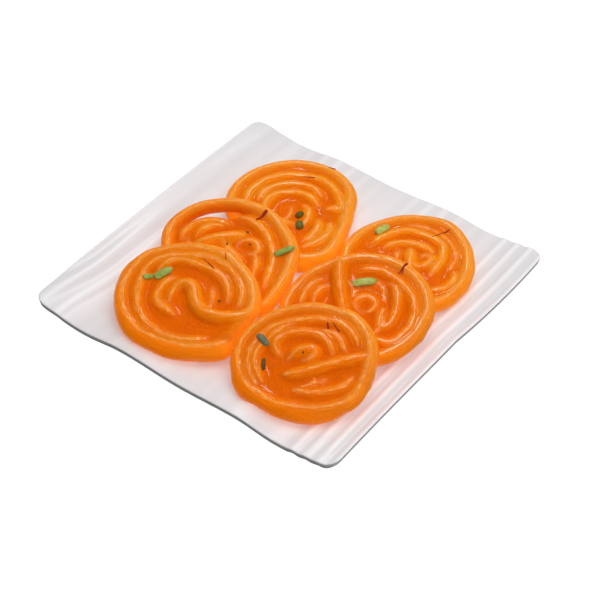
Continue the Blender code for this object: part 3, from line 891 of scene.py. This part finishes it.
def layPoints(sweets):
    # a point for every sliver, with the turn, size and tone that it takes where it lies
    mesh = bpy.data.meshes.new("sliverPoints")
    places, turns, sizes, tones = [], [], [], []
    for x, y, heading, length, width, thick, tone in pistachio["slivers"]:
        angle = math.radians(heading)
        ahead = Vector((math.cos(angle), math.sin(angle))) * length * 0.35 * mm
        middle, normal = dropOn(sweets, x * mm, y * mm)
        first, last = (dropOn(sweets, x * mm + way * ahead.x, y * mm + way * ahead.y)[0] for way in (-1, 1))
        along = (last - first).normalized()
        up = normal + Vector((0, 0, 1))
        up = (up - along * up.dot(along)).normalized()
        rest = max(middle.z, (first.z + last.z) / 2)
        places.append(Vector((x * mm, y * mm, rest)) + up * thick * (0.5 - pistachio["sunk"]) * mm)
        turns.append(Matrix((along, up.cross(along), up)).transposed().to_euler())
        sizes.append(Vector((length, width, thick)) * mm)
        tones.append(tone)
    mesh.from_pydata(places, [], [])
    for label, values in (("turn", turns), ("size", sizes)):
        mark = mesh.attributes.new(label, "FLOAT_VECTOR", "POINT")
        mark.data.foreach_set("vector", np.array(values, np.float32).ravel())
    writeMark(mesh, "tone", tones)
    return addObject("sliverPoints", mesh)


def makeSlivers(sweets, material):
    # Geometry Nodes: one almond-shaped slice on every point, turned and sized by it, with an uneven surface
    uneven, spacing = pistachio["uneven"]
    tree, given, sockets = startTree("laidSlivers", {"Uneven": ("Float", uneven), "Seed": ("Float", 0.0)})
    ball = addNode(tree, "GeometryNodeMeshUVSphere", Segments=28, Rings=18, Radius=0.5)
    here = addNode(tree, "GeometryNodeInputPosition")
    x, y, z = addNode(tree, "ShaderNodeSeparateXYZ", Vector=here).outputs
    cut = addNode(tree, "ShaderNodeMath", {"operation": "MAXIMUM"}, _0=z, _1=pistachio["flatBelow"])
    blunt = addNode(tree, "ShaderNodeMath", {"operation": "MAXIMUM"}, _0=x, _1=pistachio["bluntEnd"])
    side = addNode(tree, "ShaderNodeClamp", Value=y, Min=-pistachio["flatSide"], Max=pistachio["flatSide"])
    trimmed = addNode(tree, "ShaderNodeCombineXYZ", X=blunt, Y=side, Z=cut)
    sliver = addNode(tree, "GeometryNodeSetPosition", Geometry=ball, Position=trimmed)
    marked = addNode(tree, "GeometryNodeStoreNamedAttribute", {"data_type": "FLOAT", "domain": "POINT"},
                     Geometry=sliver, Name="depth", Value=z)
    turn, size = (addNode(tree, "GeometryNodeInputNamedAttribute", {"data_type": "FLOAT_VECTOR"}, Name=label)
                  for label in ("turn", "size"))
    laid = addNode(tree, "GeometryNodeInstanceOnPoints", Points=given["Geometry"], Instance=marked,
                   Rotation=turn, Scale=size)
    real = addNode(tree, "GeometryNodeRealizeInstances", Geometry=laid)
    bumpy = addShake(tree, given["Seed"], given["Uneven"], spacing)
    endTree(tree, addNode(tree, "GeometryNodeSetPosition", Geometry=real, Offset=bumpy), material)
    mesh = runTree(tree, layPoints(sweets), {sockets["Seed"]: pistachio["seed"]})
    return finishPiece(mesh, "pistachioSlivers", material)


def pistachioKernel():
    # pistachio kernel, sliced and wet with syrup: green within, darker towards the skin on its underside
    material, tree, shader = newMaterial("pistachio kernel")
    place = addNode(tree, "ShaderNodeTexCoord").outputs["Object"]
    tone, depth = (addNode(tree, "ShaderNodeAttribute", {"attribute_name": label}).outputs["Fac"]
                   for label in ("tone", "depth"))
    green = addNode(tree, "ShaderNodeValToRGB", {"stops": pistachio["greens"]}, Fac=tone)
    grain = addNode(tree, "ShaderNodeTexNoise", Vector=place, Scale=1 / pistachio["grain"], Detail=3.0)
    uneven = addNode(tree, "ShaderNodeMapRange", Value=grain, From_Min=0.3, From_Max=0.7, To_Min=0.75,
                     To_Max=1.15)
    spotted = addNode(tree, "ShaderNodeHueSaturation", Color=green, Value=uneven)
    under = addNode(tree, "ShaderNodeMapRange", Value=depth, From_Min=0.0, From_Max=-0.2, To_Max=0.75)
    color = addNode(tree, "ShaderNodeMix", {"data_type": "RGBA"}, _0=under, _6=spotted,
                    _7=hexColor(pistachio["skin"]))
    setInputs(tree, shader, Base_Color=color.outputs[2], Roughness=0.4, Coat_Weight=0.25,
              Subsurface_Weight=0.15, Subsurface_Scale=1 * mm)
    return material


saffron = {
    "threads": [        # x and y of the thin end and of the wide end, thickness
        ((-39.4, 13.0), (-38.2, 22.6), 2.6),
        ((66.5, 24.4), (66.5, 34.2), 1.7),
        ((68.6, 25.6), (66.5, 30.0), 1.2),
        ((-41.3, 97.9), (-36.6, 99.6), 1.0),
        ((-49.8, 79.5), (-42.3, 82.9), 0.8),
        ((57.2, 79.0), (62.3, 93.2), 0.9),
        ((57.8, -42.0), (60.6, -44.6), 1.8),
        ((61.1, -40.6), (68.2, -43.4), 1.2),
        ((-42.7, -39.4), (-31.8, -42.8), 1.0),
        ((-33.4, -27.9), (-29.9, -32.4), 0.8),
    ],
    "thinEnd": 0.35,        # share of the thickness
    "step": 0.7 * mm,
    "bend": (0.9 * mm, 6.25 * mm),      # size and length of its bends
    "seed": 2.0,
    "shade": 3.33 * mm,
    "reds": ((0.35, "#861202"), (0.7, "#b83008")),
}


def makeThreadLines(sweets):
    data = bpy.data.curves.new("threadLines", "CURVE")
    data.dimensions = "3D"
    for first, last, thick in saffron["threads"]:
        spline = data.splines.new("POLY")
        spline.points.add(5)
        for i, point in enumerate(spline.points):
            share = i / 5
            x, y = (first[k] + (last[k] - first[k]) * share for k in (0, 1))
            place = dropOn(sweets, x * mm, y * mm)[0]
            point.co = (place.x, place.y, place.z + thick * 0.25 * mm, 1.0)
            point.radius = thick * mm * (saffron["thinEnd"] + (1 - saffron["thinEnd"]) * share)
    return addObject("threadLines", data)


def makeThreads(sweets, material):
    # Geometry Nodes: a thread along every line, widening to one end, with small bends, mostly sideways
    bend, spacing = saffron["bend"]
    tree, given, sockets = startTree("strewnThreads", {
        "Step": ("Float", saffron["step"]), "Bend": ("Float", bend), "Seed": ("Float", 0.0)})
    even = addNode(tree, "GeometryNodeResampleCurve", {"mode": "LENGTH"}, Curve=given["Geometry"],
                   Length=given["Step"])
    bent = addShake(tree, given["Seed"], given["Bend"], spacing)
    bent = addNode(tree, "ShaderNodeVectorMath", {"operation": "MULTIPLY"}, _0=bent, _1=(1.0, 1.0, 0.2))
    moved = addNode(tree, "GeometryNodeSetPosition", Geometry=even, Offset=bent)
    circle = addNode(tree, "GeometryNodeCurvePrimitiveCircle", Resolution=8, Radius=0.5)
    own = addNode(tree, "GeometryNodeInputRadius")
    thread = addNode(tree, "GeometryNodeCurveToMesh", Curve=moved, Profile_Curve=circle, Scale=own,
                     Fill_Caps=True)
    endTree(tree, thread, material)
    mesh = runTree(tree, makeThreadLines(sweets), {sockets["Seed"]: saffron["seed"]})
    return finishPiece(mesh, "saffronThreads", material)


def saffronThread():
    # saffron stigma soaked in syrup: dark red, lighter and darker in patches
    material, tree, shader = newMaterial("saffron thread")
    place = addNode(tree, "ShaderNodeTexCoord").outputs["Object"]
    shade = addNode(tree, "ShaderNodeTexNoise", Vector=place, Scale=1 / saffron["shade"], Detail=2.0)
    color = addNode(tree, "ShaderNodeValToRGB", {"stops": saffron["reds"]}, Fac=shade)
    setInputs(tree, shader, Base_Color=color, Roughness=0.4)
    return material


print("camera, light and floor")
makeCamera()
makeLight()
makeFloor()
print("plate")
finishPiece(makePlateMesh(), "plateGlazed", glazedPorcelain(), ["plate"])
print("jalebis")
sweets = makeJalebis()
print("pistachio and saffron")
makeSlivers(sweets, pistachioKernel())
makeThreads(sweets, saffronThread())
